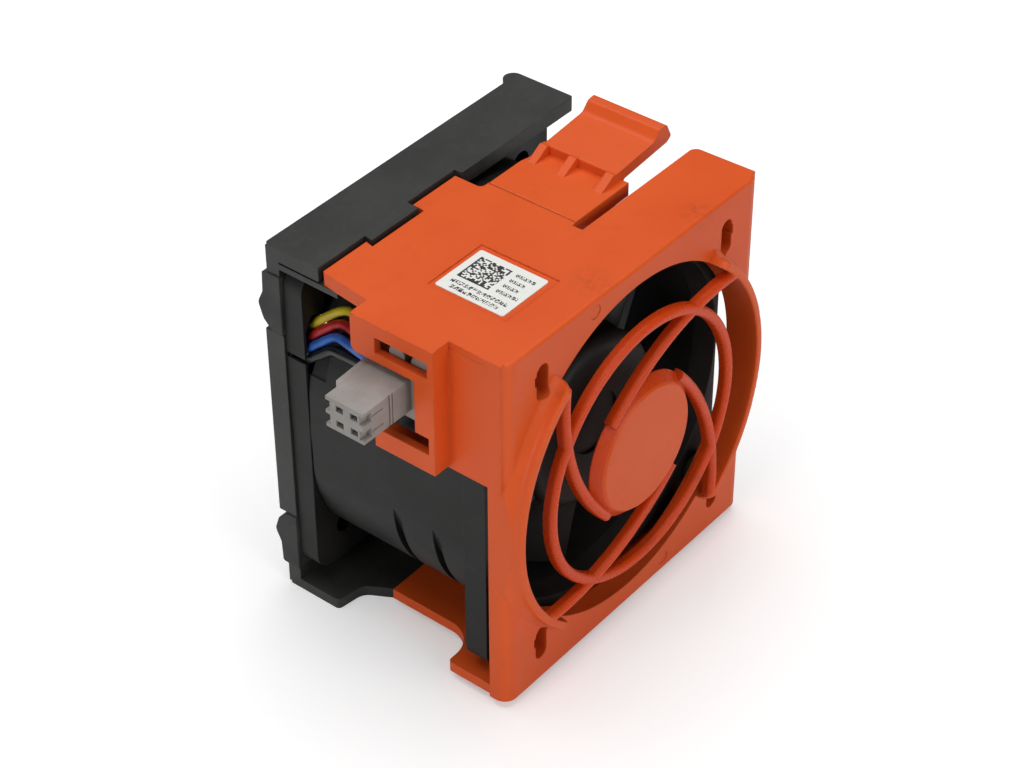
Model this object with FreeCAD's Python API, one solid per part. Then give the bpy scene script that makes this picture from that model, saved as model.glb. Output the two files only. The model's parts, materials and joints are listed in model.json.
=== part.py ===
import FreeCAD, Part
import math
import os
from FreeCAD import Vector

# Hot-swap fan module for a rack server, as separate solids in one frame, millimetres.
# +Z is up, the module stands on the foot of its rear frame, air enters at -Y and leaves at +Y,
# the connector points to -X and the release latch's grip to +X.
# While building, y = 0 is the guard's front face and x = 0 the fan's axis. save() moves every
# solid so that the origin lies on the base plane under the middle of the foot.

os.makedirs("parts", exist_ok=True)

# ---------------------------------------------------------------- driving dimensions
module_width = 68.5          # guard plate, X
carrier_height = 72.7        # guard plate, Z
foot_drop = 1.6              # rear frame's foot below the carrier's underside
head_rise = 0.6              # rear frame's head above the carrier's top
half_width = module_width / 2
carrier_base = foot_drop
carrier_top = carrier_base + carrier_height
axis_z = carrier_base + carrier_height / 2
frame_top = carrier_top + head_rise

# guard
guard_t = 3.8                # plate, Y
guard_corner_r = 2.5
intake_r = 32.7              # round opening in the plate
collar_h = 2.95              # side collars, forward of the plate
collar_t = 1.45
collar_half = 52.0           # degrees each side of the horizontal
collar_flare = 1.6
disc_r = 11.6                # hub disc's face
disc_flank = 2.0             # its bevelled flank, both ways
disc_front = 3.0             # the face, forward of the plate
rib_w = 2.0                  # grille ribs, with a round front
rib_front = 2.8
rib_back = 0.8               # their backs stay this far forward of the plate
ring_r = 24.8                # middle of the grille's ring
arm_r = 45.0                 # swirl arms
arm_count = 4
arm_start = 132.5            # degrees, where the first arm leaves the disc's flank
arm_offset = 0.7             # between the disc's face and an arm there
slot_x = 25.0                # corner slots
slot_z = 28.3
slot_w = 3.0
slot_len = 7.0

# carrier walls
head_t = 2.6                 # top plate
floor_t = 2.1                # bottom plate
side_t = 1.4                 # side panels
side_depth = 12.0
side_drop = 25.7             # side panels' height below the top
seam_y = 38.9                # carrier's rear edge at the top
floor_y = 32.6               # carrier's rear edge at the bottom
seam_gap = 0.7

# connector bracket on the carrier's left side, z measured down from the carrier's top
bracket_x = 38.1
bracket_t = 1.5
bracket_y0 = 11.4
bracket_y1 = 28.4
bar_z = (5.7, 7.4)           # bar over the connector
column_y = 15.4
bracket_slot_z = (17.7, 21.1)
bracket_drop = 24.9

# release latch
latch_y0 = 15.65
latch_y1 = 34.0
latch_gap = 2.25             # finger gap between the latch and the guard side
latch_root = 4.0
latch_step_x = 16.7
latch_neck = 1.4             # raised part is this much narrower on each side
grip_y0 = latch_y0 + 1.6
grip_y1 = latch_y1 - latch_neck
hinge_play = 0.04

# rear frame
frame_half = 33.0
frame_y0 = 48.4              # its wall's front face, where the fan's rear flange sits
frame_y1 = 51.2
column_proud = 1.2           # middle of the side columns behind the wall
frame_head_t = 2.8
foot_t = 2.1
ledge_t = 1.1                # ledge under the carrier's top plate
exhaust_r = 31.0
lug_near = 20.0              # isolator windows, each way from their middle
lug_far = 32.3
lug_low = 1.1                # that middle is this much lower than the fan's axis
lug_gap = 0.2

# fan
fan_half = 32.5
fan_y0 = 5.8
fan_y1 = frame_y0
front_flange_t = 4.6
rear_flange_t = 4.15
duct_r = 31.0
body_r = 25.8                # corner radius of the body between the flanges
body_y1 = 43.9
relief_y = (15.6, 24.2)      # crescent reliefs in the body's corners
relief_w = 1.7
relief_r = 33.2
neck_wall = 1.4
strap_t = 0.6                # strap that holds the wires in the rear flange
strap_slit = (14.6, 15.6)    # slit below it, up from the axis
fan_hole = 25.0              # mounting holes, each way from the axis
fan_hole_r = 2.2
hub_r = 16.5
hub_y0 = 8.0
hub_y1 = 36.0
blade_count = 7
tip_gap = 0.6
blade_tip_r = duct_r - tip_gap
vane_count = 9
vane_start = 40.0            # degrees, so that the wires leave between two vanes
hub_gap = 1.2

# motor
yoke_r = 14.9
yoke_t = 1.0
magnet_t = 2.0
shaft_r = 1.5
shaft_play = 0.05
bearing_r = 4.0
bearing_w = 4.0
sleeve_r = 5.0
core_r = 11.4

# connector and wires
pin_pitch = 3.0
plug_x0 = 48.0
plug_y = (17.3, 24.3)
plug_z = (8.9, 15.0)         # down from the carrier's top
wire_r = 0.8
wire_bend = 5.0
wire_pitch = 2.0
wire_gap = 0.4               # to the fan's body
wire_angle = 152.0           # degrees, where they run out through the rear flange
wire_start = (12.5, 42.0)    # radius and y on the motor board
wire_knee = (24.0, 46.8)
wire_turn_x = -31.25
wire_climb_y = 39.6
wire_socket = 0.6            # depth in the plug's block
plug_block_y = (14.2, 25.4)
# name, lane, degrees round the body's corner where it has climbed, x and drop from the top at the plug
wire_runs = [("wire_yellow", -1.5, 136.6, -34.6, 8.0), ("wire_red", -0.5, 142.1, -34.05, 10.3),
             ("wire_blue", 0.5, 147.6, -35.75, 10.6), ("wire_black", 1.5, 153.1, -34.6, 12.9)]


# ---------------------------------------------------------------- helpers
def box(x0, x1, y0, y1, z0, z1):
    return Part.makeBox(x1 - x0, y1 - y0, z1 - z0, Vector(x0, y0, z0))


def rod_y(r, y0, y1, x=0.0, z=None):
    return Part.makeCylinder(r, y1 - y0, Vector(x, y0, axis_z if z is None else z), Vector(0, 1, 0))


def tube_y(outer, inner, y0, y1):
    return rod_y(outer, y0, y1).cut(rod_y(inner, y0 - 1, y1 + 1))


def rounded_edges(points, place):
    """Edges of a closed outline. Each point is (u, v) or (u, v, corner radius)."""
    count = len(points)
    starts, ends, mids = [], [], []
    for i, p in enumerate(points):
        here = Vector(p[0], p[1], 0)
        r = p[2] if len(p) > 2 else 0.0
        before = Vector(points[i - 1][0], points[i - 1][1], 0) - here
        after = Vector(points[(i + 1) % count][0], points[(i + 1) % count][1], 0) - here
        before.normalize()
        after.normalize()
        if r == 0:
            starts.append(here)
            ends.append(here)
            mids.append(None)
            continue
        half = before.getAngle(after) / 2
        reach = r / math.tan(half)
        bisector = before + after
        bisector.normalize()
        starts.append(here + before * reach)
        ends.append(here + after * reach)
        mids.append(here + bisector * (r / math.sin(half) - r))
    edges = []
    for i in range(count):
        if mids[i] is not None:
            edges.append(Part.Arc(place(starts[i]), place(mids[i]), place(ends[i])).toShape())
        a, b = ends[i], starts[(i + 1) % count]
        if a.distanceToPoint(b) > 1e-6:
            edges.append(Part.makeLine(place(a), place(b)))
    return edges


def prism_xy(points, z0, z1):
    wire = Part.Wire(rounded_edges(points, lambda p: Vector(p.x, p.y, z0)))
    return Part.Face(wire).extrude(Vector(0, 0, z1 - z0))


def prism_xz(points, y0, y1):
    wire = Part.Wire(rounded_edges(points, lambda p: Vector(p.x, y0, p.y)))
    return Part.Face(wire).extrude(Vector(0, y1 - y0, 0))


def prism_yz(points, x0, x1):
    wire = Part.Wire(rounded_edges(points, lambda p: Vector(x0, p.x, p.y)))
    return Part.Face(wire).extrude(Vector(x1 - x0, 0, 0))


def square(half, r, y0, y1):
    """Rounded square about the fan's axis."""
    return prism_xz(square_points(half, r), y0, y1)


def square_points(half, r):
    return [(sx * half, axis_z + sz * half, r) for sx, sz in ((-1, -1), (1, -1), (1, 1), (-1, 1))]


def spun(points, x, z, start, sweep):
    """Outline of (radius, y) turned about an axis along Y at (x, z), anticlockwise seen from -Y."""
    wire = Part.Wire(rounded_edges(points, lambda p: Vector(p.x, p.y, 0)))
    solid = Part.Face(wire).revolve(Vector(0, 0, 0), Vector(0, 1, 0), -sweep)
    solid.rotate(Vector(0, 0, 0), Vector(0, 1, 0), -start)
    solid.translate(Vector(x, 0, z))
    return solid


def turned(shape, degrees):
    """Copy turned about the fan's axis, anticlockwise seen from the front."""
    out = shape.copy()
    out.rotate(Vector(0, 0, axis_z), Vector(0, 1, 0), -degrees)
    return out


def fuse(shapes):
    out = shapes[0]
    if len(shapes) > 1:
        out = out.multiFuse(shapes[1:])
    return out.removeSplitter()


def cut(shape, tools):
    return shape.cut(Part.makeCompound(tools)).removeSplitter()


def mirrored(shape):
    return shape.mirror(Vector(0, 0, 0), Vector(1, 0, 0))


def polar(r, degrees):
    a = math.radians(degrees)
    return r * math.cos(a), axis_z + r * math.sin(a)


foot_y0 = floor_y + seam_gap / 2
origin_y = (foot_y0 + frame_y1) / 2


def save(name, shape):
    out = shape.copy()
    out.translate(Vector(0, -origin_y, 0))
    out.exportStep("parts/" + name + ".step")
    print("%-20s volume %9.2f  solids %d  valid %s" %
          (name, out.Volume, len(out.Solids), out.isValid()))


# ---------------------------------------------------------------- front carrier
def rib_profile(middle):
    """Section of a rib: a flat back and a round front."""
    inner, outer = middle - rib_w / 2, middle + rib_w / 2
    r = rib_w / 2 - 0.05
    return [(inner, -rib_front, r), (outer, -rib_front, r), (outer, -rib_back), (inner, -rib_back)]


def collar(centre):
    """Raised lip round one side of the opening, with a flared foot and rounded ends."""
    outer = intake_r + collar_t
    back = guard_corner_r + 0.3
    profile = [(intake_r, -collar_h + 0.25), (intake_r + 0.25, -collar_h), (outer, -collar_h, 0.5),
               (outer, -collar_flare + 0.4, 1.2), (outer + collar_flare, 0.4),
               (outer + collar_flare, back), (intake_r, back)]
    lip = spun(profile, 0, axis_z, centre - collar_half - 2, 2 * collar_half + 4)
    end_r = collar_h + 0.2
    end = collar_half - math.degrees(math.asin(end_r / outer))
    sector = [(intake_r - 1, -end_r), (outer + 3, -end_r), (outer + 3, back + 1), (intake_r - 1, back + 1)]
    keep = [spun(sector, 0, axis_z, centre - end, 2 * end)]
    for side in (-1, 1):
        a = math.radians(centre + side * end)
        out = Vector(math.cos(a), 0, math.sin(a))
        keep.append(Part.makeCylinder(end_r, 7.0, Vector(0, 0, axis_z) + out * (intake_r - 1.5), out))
    return lip.common(fuse(keep))


def swirl_arm(k):
    """One arm: an arc that leaves the hub disc's flank and runs out across the ring to the opening."""
    reach = arm_r - (disc_r + arm_offset + rib_w / 2)
    facing = arm_start - 180 - 90 * k
    x, z = polar(reach, facing)
    rim = intake_r + 0.5
    swing = math.degrees(math.acos((rim ** 2 - reach ** 2 - arm_r ** 2) / (2 * reach * arm_r)))
    return spun(rib_profile(arm_r), x, z, facing + swing, 180 - swing)


def corner_slot(sx, sz):
    """Slot for a pull-through isolator: a stadium with a small catch on its outer side."""
    x, z = sx * slot_x, axis_z + sz * slot_z
    r = slot_w / 2
    end = slot_len / 2 - r
    tools = [rod_y(r, -1, guard_t + 1, x, z + end), rod_y(r, -1, guard_t + 1, x, z - end),
             box(x - r, x + r, -1, guard_t + 1, z - end, z + end)]
    tools.append(box(x - r - 0.4 if sx < 0 else x, x if sx < 0 else x + r + 0.4, -1, guard_t + 1,
                     z - 0.2, z + end * 0.9))
    return fuse(tools)


def mirrored_outline(points):
    """Closed outline from its left half, listed from the centre line outwards."""
    return points + [(-p[0],) + tuple(p[1:]) for p in reversed(points)]


def front_carrier():
    r = guard_corner_r
    plate = prism_xy([(-half_width, 0, r), (half_width, 0, r), (half_width, guard_t),
                      (-half_width, guard_t)], carrier_base, carrier_top)
    top_front = [e for e in plate.Edges
                 if abs(e.BoundBox.ZMin - carrier_top) < 1e-3 and e.BoundBox.YMax < r + 1e-3]
    plate = plate.makeFillet(0.6, top_front)
    plate = plate.cut(rod_y(intake_r, -1, guard_t + 1))

    bounds = box(-half_width, half_width, -10, 10, carrier_base, carrier_top)
    collars = [collar(0).common(bounds), collar(180).common(bounds)]
    ring = spun(rib_profile(ring_r), 0, axis_z, 0, 360)
    base_r = disc_r + disc_flank
    disc = spun([(0, -disc_front), (disc_r, -disc_front), (base_r, -disc_front + disc_flank),
                 (base_r, -rib_back), (0, -rib_back)], 0, axis_z, 0, 360)
    arms = [swirl_arm(k) for k in range(arm_count)]

    y_root = 1.0
    slot_x0 = latch_root - 1.5
    head = prism_xy([
        (half_width, y_root), (half_width - 0.4, latch_y0 - latch_gap, 1.5),
        (slot_x0, latch_y0 - latch_gap, 0.3), (slot_x0, latch_y0 - 0.1),
        (latch_root, latch_y0 - 0.1), (latch_root, latch_y1 + 0.1), (1.7, latch_y1 + 0.1, 1.0),
        (1.7, seam_y + 0.9), (-9.3, seam_y + 0.9), (-9.4, seam_y - 1.65), (-22.4, seam_y - 1.65),
        (-22.0, seam_y), (-32.7, seam_y, 0.5), (-33.9, bracket_y1 + 0.1),
        (-bracket_x, bracket_y1, 0.4), (-bracket_x, bracket_y0, 0.3),
        (-half_width + 0.2, bracket_y0), (-half_width, y_root)],
        carrier_top - head_t, carrier_top)
    knuckle_z = carrier_top - head_t / 2
    socket = Part.makeCylinder(head_t / 2 + hinge_play, latch_y1 - latch_y0 + 0.2,
                               Vector(latch_root, latch_y0 - 0.1, knuckle_z), Vector(0, 1, 0))
    label_pocket = box(-24.6, -10.85, 7.6, 23.8, carrier_top - 0.3, carrier_top + 1)

    left = box(-half_width, -half_width + side_t, y_root, side_depth,
               carrier_top - side_drop, carrier_top - head_t / 2)
    right = mirrored(left)

    scallop = 5.5
    floor = prism_xy([
        (-26.0, floor_y), (-26.0, 13.5, scallop), (-33.7, 13.5, 0.8), (-33.7, y_root),
        (33.7, y_root), (33.7, 13.5, 0.8), (26.0, 13.5, scallop), (26.0, floor_y)],
        carrier_base, carrier_base + floor_t)

    # connector bracket: outer wall, front web and a floor under the plug
    top = carrier_top
    x0, x1 = -bracket_x, -bracket_x + bracket_t
    wall = prism_yz([(bracket_y0, top - bracket_drop), (24.0, top - bracket_drop),
                     (24.0, top - bracket_slot_z[1]), (column_y, top - bracket_slot_z[1]),
                     (column_y, top - bar_z[1]), (bracket_y1, top - bar_z[1], 1.2),
                     (bracket_y1, top - 0.5), (bracket_y0, top - 0.5)], x0, x1)
    web = box(x0 + 0.1, -half_width + side_t, bracket_y0, bracket_y0 + 1.5,
              top - bracket_drop, top - 0.5)
    tray = box(x0 + 0.1, -fan_half - 0.5, bracket_y0, 24.0, top - bracket_drop,
               top - bracket_drop + 1.5)
    windows = [box(x0 - 1, x1 + 0.5, 12.6, 23.4, top - bar_z[0], top - head_t),
               box(x0 - 1, x1 + 0.5, 12.6, 25.0, top - bracket_slot_z[1], top - bracket_slot_z[0])]

    # ejector marks on the guard's face
    marks = [rod_y(1.3, -1, 0.15, -11.4, carrier_top - 2.4), rod_y(1.3, -1, 0.15, 10.4, carrier_base + 2.4)]

    body = fuse([plate, head, left, right, floor, wall, web, tray] + collars)
    body = cut(body, windows + marks + [socket, label_pocket]
               + [corner_slot(sx, sz) for sx in (-1, 1) for sz in (-1, 1)])
    return fuse([body, ring, disc] + arms)


# ---------------------------------------------------------------- release latch
def release_latch():
    top = carrier_top
    low = top - head_t
    knuckle_z = top - head_t / 2
    step = latch_step_x
    flat = prism_xy([(latch_root, latch_y0), (step + 1.5, latch_y0), (step + 1.5, grip_y1 + 0.6),
                     (step - 1.0, grip_y1 + 0.6, 1.5), (step - 4.6, latch_y1, 3.0),
                     (latch_root, latch_y1)], low, top)
    knuckle = Part.makeCylinder(head_t / 2, latch_y1 - latch_y0,
                                Vector(latch_root, latch_y0, knuckle_z), Vector(0, 1, 0))
    raised = prism_xz([(step, low + 0.2), (step, top + 1.7, 0.3), (27.4, top + 2.7, 1.5),
                       (29.0, top + 4.4, 0.8), (30.9, top + 4.6, 0.9), (32.4, top + 1.6, 0.6),
                       (31.2, top + 0.8, 0.5), (step + 2.2, top - 0.3, 0.8), (step + 1.5, low)],
                      grip_y0, grip_y1)
    gussets = [prism_xz([(step - 4.0, top - 0.5), (step - 4.0, top), (step - 0.6, top + 1.9),
                         (step + 0.8, top + 1.6), (step + 0.8, top - 0.5)], y0, y1)
               for y0, y1 in ((grip_y0, grip_y0 + 1.7), (25.2, 26.8), (grip_y1 - 1.2, grip_y1 + 0.4))]
    return fuse([flat, knuckle, raised] + gussets)


# ---------------------------------------------------------------- rear frame
def lug_span(sz):
    """z range of the isolator windows above (1) or below (-1) the fan's axis."""
    ends = (axis_z - lug_low + sz * lug_near, axis_z - lug_low + sz * lug_far)
    return min(ends), max(ends)


def rear_frame():
    g = seam_gap
    rear_y = frame_y1
    head = prism_xy([
        (frame_half, rear_y, 0.6), (-frame_half, rear_y, 0.6), (-frame_half, seam_y + g),
        (-21.5, seam_y + g), (-21.8, seam_y - 1.65 + g), (-10.0, seam_y - 1.65 + g),
        (-9.9, seam_y + 0.9 + g), (1.7 + g, seam_y + 0.9 + g), (1.7 + g, seam_y, 0.8),
        (frame_half, seam_y, 0.5)], frame_top - frame_head_t, frame_top)
    knob = Part.makeCylinder(1.9, frame_head_t, Vector(31.1, rear_y - 0.4, frame_top - frame_head_t))
    ledge_z = carrier_top - head_t
    ledge = box(-frame_half, 1.0, 35.6, frame_y0 + 1, ledge_z - ledge_t, ledge_z)
    ledge = ledge.cut(box(-fan_half - 0.1, 1.1, 30, frame_y0, 0, axis_z + fan_half + 0.1))
    wall = box(-frame_half, frame_half, frame_y0, rear_y, 0.5, frame_top - 0.5)
    post_x = frame_half - 1.4
    posts = [box(sx * post_x - 1.4, sx * post_x + 1.4, frame_y0, rear_y + column_proud,
                 lug_span(-1)[1], lug_span(1)[0]) for sx in (-1, 1)]
    foot = prism_xy(mirrored_outline([
        (-24.2, foot_y0, 1.5), (-27.4, 38.6, 3.0), (-frame_half, 39.4, 0.9),
        (-frame_half, rear_y, 0.8)]), 0, foot_t)
    tongue = box(-18.0, 18.0, 27.5, foot_y0 + 1, 0, foot_drop)
    body = fuse([head, knob, ledge, wall, foot, tongue] + posts)
    cuts = [rod_y(exhaust_r, frame_y0 - 1, rear_y + 1)]
    for sx in (-1, 1):
        for sz in (-1, 1):
            z0, z1 = lug_span(sz)
            x0, x1 = sorted((sx * (frame_half - 6.4), sx * (frame_half + 1)))
            cuts.append(box(x0, x1, frame_y0 - 0.5, rear_y + 3, z0, z1))
    return cut(body, cuts)


def rear_isolators():
    """Four rubber lugs that hold the fan's rear flange in the windows of the rear frame."""
    lugs = []
    near, far = lug_near + lug_gap, lug_far - lug_gap
    for sx in (-1, 1):
        for sz in (-1, 1):
            def at(proud, height):
                return frame_y1 + proud, axis_z - lug_low + sz * height
            front = frame_y0 - frame_y1
            outline = [at(front, far), at(1.0, far) + (0.5,), at(1.2, far - 4.4) + (1.0,),
                       at(2.4, far - 7.0) + (1.8,), at(1.4, near + 1.9) + (1.2,),
                       at(-0.4, near) + (0.6,), at(front, near)]
            x0, x1 = sorted((sx * (frame_half - 6.4 + lug_gap), sx * (frame_half + 0.2)))
            lugs.append(prism_yz(outline, x0, x1))
    return Part.makeCompound(lugs)


def front_isolators():
    """Rubber pads between the guard plate and the corners of the fan's front flange."""
    pads = []
    for sx in (-1, 1):
        for sz in (-1, 1):
            pads.append(rod_y(3.4, guard_t, fan_y0, sx * (fan_half - 5.1), axis_z + sz * (fan_half - 5.1)))
    return Part.makeCompound(pads)


# ---------------------------------------------------------------- wire routes
def wire_points(lane, climbed, x, plug_drop):
    """From a post on the motor board through the rear flange, round the body's corner and into the plug."""
    a = math.radians(wire_angle)
    out = Vector(math.cos(a), 0, math.sin(a))
    across = Vector(-math.sin(a), 0, math.cos(a))
    base = Vector(0, 0, axis_z) + across * (lane * wire_pitch)
    start = base + out * wire_start[0] + Vector(0, wire_start[1], 0)
    knee = base + out * wire_knee[0] + Vector(0, wire_knee[1], 0)
    turn = base + out * ((wire_turn_x - base.x) / out.x) + Vector(0, wire_knee[1], 0)
    corner = fan_half - body_r
    r = body_r + wire_gap + wire_r
    c = math.radians(climbed)
    climb = Vector(-corner + r * math.cos(c), wire_climb_y, axis_z + corner + r * math.sin(c))
    return [start, knee, turn, climb, Vector(x, plug_block_y[1] - wire_socket, carrier_top - plug_drop)]


# ---------------------------------------------------------------- fan housing
def stator_vane(k):
    """Curved guide vane between the motor mount and the duct."""
    a = Vector(0, 37.6, 0)
    b = Vector(2.2, 42.0, 0)
    c = Vector(2.9, 47.0, 0)
    t = Vector(1.2, 0, 0)
    inner = hub_r - 1.0
    outer = duct_r + 0.6
    front = Part.Arc(a, b, c).toShape()
    back = Part.Arc(a + t, b + t, c + t).toShape()
    wire = Part.Wire([front, Part.makeLine(c, c + t), back, Part.makeLine(a + t, a)])
    vane = Part.Face(wire).extrude(Vector(0, 0, outer - inner))
    vane.translate(Vector(-1.5, 0, axis_z + inner))
    return turned(vane, vane_start + 360.0 * k / vane_count)


def fan_housing():
    rear_y0 = fan_y1 - rear_flange_t
    front = square(fan_half, 3.0, fan_y0, fan_y0 + front_flange_t)
    rear = square(fan_half, 4.0, rear_y0, fan_y1)
    body = square(fan_half - 0.05, body_r, fan_y0 + front_flange_t - 0.5, body_y1)
    neck = rod_y(duct_r + neck_wall, body_y1 - 0.5, rear_y0 + 0.5)
    shell = fuse([front, rear, body, neck])
    bellmouth = Part.makeCone(duct_r + 1.1, duct_r, 4.0, Vector(0, fan_y0, axis_z), Vector(0, 1, 0))
    cuts = [rod_y(duct_r, fan_y0 - 1, fan_y1 + 1), bellmouth]
    for sx in (-1, 1):
        for sz in (-1, 1):
            x, z = sx * fan_hole, axis_z + sz * fan_hole
            cuts.append(rod_y(fan_hole_r, rear_y0 - 0.2, fan_y1 + 1, x, z))
    cuts += [tube_y(fan_half * 1.5, relief_r, y, y + relief_w) for y in relief_y]
    shell = cut(shell, cuts)

    mount_y = hub_y1 + hub_gap
    cup = tube_y(hub_r, hub_r - 1.5, mount_y, fan_y1 - 0.5)
    cup_floor = rod_y(hub_r, fan_y1 - 2.0, fan_y1 - 0.5)
    board_step = tube_y(hub_r - 1.0, hub_r - 3.0, mount_y + 2.4, fan_y1 - 1.0)
    boss = rod_y(sleeve_r + 1.6, mount_y + 3.0, fan_y1 - 1.0)
    vanes = [stator_vane(k) for k in range(vane_count)]
    core = fuse([shell, cup, cup_floor, board_step, boss] + vanes)
    lane = 1.5 * wire_pitch + wire_r + 0.2
    gate = box(10.0, hub_r + 5.0, wire_start[1] - 1.1, fan_y1 - 2.2, axis_z - lane, axis_z + lane)
    pocket_y1 = wire_knee[1] + wire_r + 0.2
    pocket = turned(box(duct_r - 1.5, 38.0, body_y1, pocket_y1, axis_z - lane - 2.8, axis_z + lane), wire_angle)
    inside = box(-fan_half + strap_t, 0, body_y1, pocket_y1, axis_z, axis_z + fan_half)
    slit = box(-fan_half - 1, -fan_half + strap_t + 0.1, body_y1 + 0.1, fan_y1 + 1,
               axis_z + strap_slit[0], axis_z + strap_slit[1])
    relief = turned(box(duct_r + 2.6, 38.0, body_y1 - 3.4, body_y1 + 0.1, axis_z - lane - 2.8,
                        axis_z + lane), wire_angle)
    return cut(core, [rod_y(sleeve_r, mount_y - 1, fan_y1 - 2.0), turned(gate, wire_angle),
                      pocket.common(inside), relief, slit])


# ---------------------------------------------------------------- impeller
def blade_section(r):
    """Closed cambered section in the plane z = r: leading edge forward, trailing edge aft."""
    f = (r - hub_r) / (blade_tip_r - hub_r)
    axial = 24.0 - 3.0 * f
    swing = 10.5 + 9.0 * f
    t = 1.5 - 0.6 * f
    y0 = 10.0 + 1.2 * f
    nose = Vector(-swing / 2, y0, r)
    tail = Vector(swing / 2, y0 + axial, r)
    along = tail - nose
    side = Vector(along.y, -along.x, 0)
    side.normalize()
    middle = (nose + tail) * 0.5 + side * (3.0 - 0.6 * f)
    upper = Part.Arc(nose + side * (t / 2), middle + side * (t * 0.6), tail + side * (t / 3)).toShape()
    lower = Part.Arc(nose - side * (t / 2), middle - side * (t * 0.6), tail - side * (t / 3)).toShape()
    return Part.Wire([upper, Part.makeLine(tail + side * (t / 3), tail - side * (t / 3)), lower,
                      Part.makeLine(nose - side * (t / 2), nose + side * (t / 2))])


def impeller():
    dome = 2.2
    hub = spun([(0, hub_y0), (hub_r, hub_y0, dome), (hub_r, hub_y1), (yoke_r, hub_y1),
                (yoke_r, hub_y0 + 2.0), (0, hub_y0 + 2.0)], 0, axis_z, 0, 360)
    dimple = rod_y(6.0, hub_y0 - 1, hub_y0 + 0.5)
    bush = rod_y(3.2, hub_y0 + 1.5, hub_y0 + 2.0 + yoke_t + 2.0)
    bush = bush.cut(rod_y(shaft_r, hub_y0, hub_y1))
    radii = [hub_r - 1.2, (hub_r + blade_tip_r) / 2, blade_tip_r + 1.0]
    blade = Part.makeLoft([blade_section(r) for r in radii], True, False)
    blade.translate(Vector(0, 0, axis_z))
    swept = rod_y(blade_tip_r, hub_y0, hub_y1).cut(rod_y(hub_r - 0.8, hub_y0 - 1, hub_y1 + 1))
    blade = blade.common(swept)
    blades = [turned(blade, 360.0 * k / blade_count) for k in range(blade_count)]
    body = fuse([hub, bush] + blades)
    return cut(body, [dimple])


# ---------------------------------------------------------------- motor
def rotor_yoke():
    y0 = hub_y0 + 2.0
    cup = rod_y(yoke_r, y0, hub_y1 - 3.0).cut(rod_y(yoke_r - yoke_t, y0 + yoke_t, hub_y1))
    return cup.cut(rod_y(3.2, y0 - 1, y0 + 5))


def magnet_ring():
    outer = yoke_r - yoke_t
    return tube_y(outer, outer - magnet_t, hub_y0 + 2.0 + yoke_t + 0.5, hub_y1 - 3.5)


shaft_y0 = hub_y0 + 2.2
front_bearing_y = 17.0
rear_bearing_y = 40.2
shaft_y1 = rear_bearing_y + bearing_w + 1.6


def rotor_shaft():
    groove = tube_y(shaft_r + 1, shaft_r - 0.35, shaft_y1 - 1.1, shaft_y1 - 0.7)
    return rod_y(shaft_r, shaft_y0, shaft_y1).cut(groove)


def shaft_clip():
    ring = tube_y(3.0, shaft_r - 0.35, shaft_y1 - 1.1, shaft_y1 - 0.7)
    return ring.cut(box(-0.9, 0.9, 0, 60, axis_z - 5, axis_z))


def bearing(y0):
    """Shielded ball bearing; the bore is the inner ring's."""
    bore, y1, c = shaft_r + shaft_play, y0 + bearing_w, 0.25
    ring = spun([(bore, y0), (bearing_r - c, y0), (bearing_r, y0 + c), (bearing_r, y1 - c),
                 (bearing_r - c, y1), (bore, y1)], 0, axis_z, 0, 360)
    recess = [tube_y(3.3, 2.2, y0 - 1, y0 + 0.25), tube_y(3.3, 2.2, y0 + bearing_w - 0.25, y0 + 6)]
    return cut(ring, recess)


def bearing_sleeve():
    y0, y1 = front_bearing_y - 1.0, fan_y1 - 2.0
    tube = tube_y(sleeve_r, bearing_r, y0, y1)
    step = tube_y(sleeve_r - 0.3, bearing_r - 0.8, front_bearing_y + bearing_w, rear_bearing_y)
    return fuse([tube, step])


stator_y = (19.0, 31.0)


def stator_core():
    y0, y1 = stator_y
    hub = tube_y(7.0, sleeve_r, y0, y1)
    shoes = tube_y(core_r, core_r - 1.3, y0, y1)
    gap = box(-0.8, 0.8, y0 - 1, y1 + 1, axis_z, axis_z + 20)
    shoes = cut(shoes, [turned(gap, 45 + 90 * k) for k in range(4)])
    teeth = [turned(box(-1.6, 1.6, y0, y1, axis_z + 6.5, axis_z + core_r - 0.6), 90 * k)
             for k in range(4)]
    return fuse([hub, shoes] + teeth)


def stator_coils():
    """One copper coil round each tooth."""
    y0, y1 = stator_y
    low, high = 7.3, core_r - 2.1
    coil = box(-3.0, 3.0, y0 - 1.6, y1 + 1.6, axis_z + low, axis_z + high)
    coil = coil.makeFillet(1.0, [e for e in coil.Edges if abs(e.BoundBox.ZLength - (high - low)) < 1e-3])
    coil = coil.cut(box(-1.6, 1.6, y0, y1, axis_z, axis_z + 20))
    return Part.makeCompound([turned(coil, 90 * k) for k in range(4)])


board_y = hub_y1 + hub_gap + 0.8


def motor_board():
    board = tube_y(hub_r - 1.6, sleeve_r + 0.05, board_y, board_y + 1.6)
    chip = box(-3.0, 3.0, board_y - 0.9, board_y, axis_z + 7.6, axis_z + 11.6)
    parts = [chip]
    for a in (70, 200, 250, 310):
        part = box(8.6, 10.8, board_y - 0.8, board_y, axis_z - 0.8, axis_z + 0.8)
        parts.append(turned(part, a))
    for run in wire_runs:
        start = wire_points(*run[1:])[0]
        parts.append(Part.makeCylinder(0.5, start.y - wire_r - 0.1 - board_y,
                                       Vector(start.x, board_y, start.z), Vector(0, 1, 0)))
    return fuse([board] + parts)


def hub_label():
    return rod_y(14.0, fan_y1 - 0.5, fan_y1 - 0.35)


# ---------------------------------------------------------------- labels on the outside
def top_label():
    z = carrier_top - 0.3
    return prism_xy([(-23.8, 9.0, 0.5), (-11.9, 9.0, 0.5), (-11.9, 23.0, 0.5), (-23.8, 23.0, 0.5)],
                    z, z + 0.15)


def fan_label():
    z = axis_z + fan_half - 0.05
    return box(-7.8, 7.8, 12.0, 30.0, z, z + 0.12)


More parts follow.
